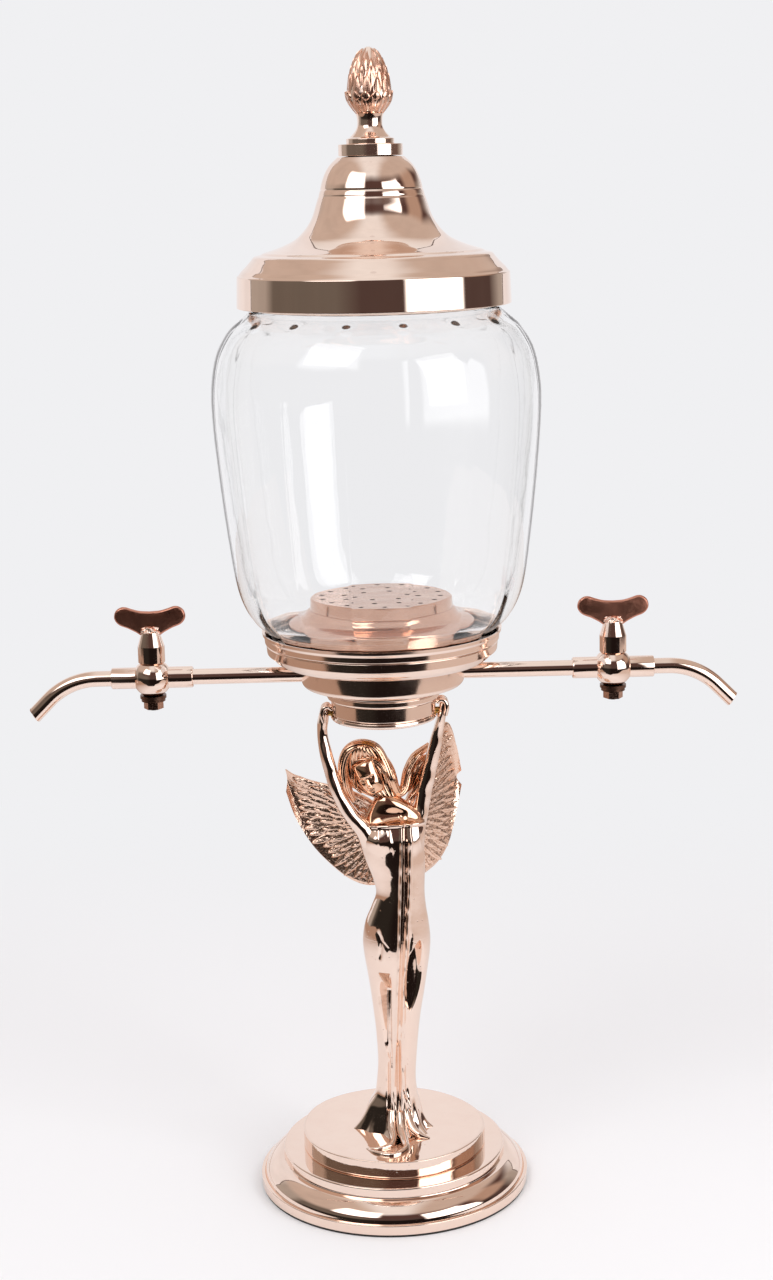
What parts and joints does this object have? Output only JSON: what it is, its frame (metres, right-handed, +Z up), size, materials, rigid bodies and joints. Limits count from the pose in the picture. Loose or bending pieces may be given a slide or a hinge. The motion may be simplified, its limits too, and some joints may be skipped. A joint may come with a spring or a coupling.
{
  "type": "absinthe fountain",
  "caption": "Table fountain: a winged cast figure on a round base holds up a lidded glass water jar with turning taps on side arms.",
  "frame": {"origin": "middle of the pad's underside, on the table", "axes": "+Z up, +X along the right tap arm, -Y towards the viewer (front)"},
  "size_m": [0.3136, 0.1398, 0.4999],
  "materials": {
    "rose_metal": "polished rose gold plate on spun and turned brass",
    "cast_rose_metal": "polished rose gold plate on cast brass",
    "dark_bronze": "dark bronze, dull",
    "raw_brass": "turned brass, unplated",
    "zinc_steel": "zinc plated",
    "iron": "raw cast iron",
    "felt": "black felt",
    "rubber": "black rubber",
    "clear_glass": "clear blown glass with soft upright flutes"
  },
  "bodies": {
    "stand": {"base_pad": "felt", "base_foot": "rose_metal", "base_weight": "iron", "base_washer": "zinc_steel", "base_bolt": "zinc_steel", "figure_body": "cast_rose_metal", "figure_head": "cast_rose_metal", "arm_left": "cast_rose_metal", "arm_right": "cast_rose_metal", "wing_left": "cast_rose_metal", "wing_right": "cast_rose_metal", "wing_screws": "rose_metal", "collar": "rose_metal", "hand_screws": "rose_metal", "manifold": "rose_metal", "gallery": "rose_metal", "outlet_tube": "raw_brass", "outlet_washer": "zinc_steel", "outlet_nut": "raw_brass", "gasket_lower": "rubber", "glass_jar": "clear_glass", "gasket_upper": "rubber", "strainer_flange": "rose_metal", "strainer_cap": "rose_metal", "arm_pipe_left": "rose_metal", "tap_body_left": "rose_metal", "spout_left": "rose_metal", "arm_pipe_right": "rose_metal", "tap_body_right": "rose_metal", "spout_right": "rose_metal"},
    "lid": {"lid_shell": "rose_metal", "lid_insert": "rose_metal", "lid_collar": "rose_metal", "finial": "cast_rose_metal", "finial_stud": "raw_brass", "finial_nut": "raw_brass"},
    "tap_left": {"tap_key_left": "rose_metal", "tap_handle_left": "rose_metal", "tap_washer_left": "dark_bronze", "tap_spring_left": "dark_bronze", "tap_nut_left": "raw_brass"},
    "tap_right": {"tap_key_right": "rose_metal", "tap_handle_right": "rose_metal", "tap_washer_right": "dark_bronze", "tap_spring_right": "dark_bronze", "tap_nut_right": "raw_brass"}
  },
  "joints": [
    {"name": "tap_left_turn", "type": "hinge", "parent": "stand", "child": "tap_left", "pos_m": [-0.1003, 0, 0.2365], "axis": [0, 0, 1], "continuous": true},
    {"name": "tap_right_turn", "type": "hinge", "parent": "stand", "child": "tap_right", "pos_m": [0.1003, 0, 0.2365], "axis": [0, 0, 1], "continuous": true},
    {"name": "lid_lift", "type": "slide", "parent": "stand", "child": "lid", "axis": [0, 0, 1], "range_m": [0, 0.12]}
  ]
}
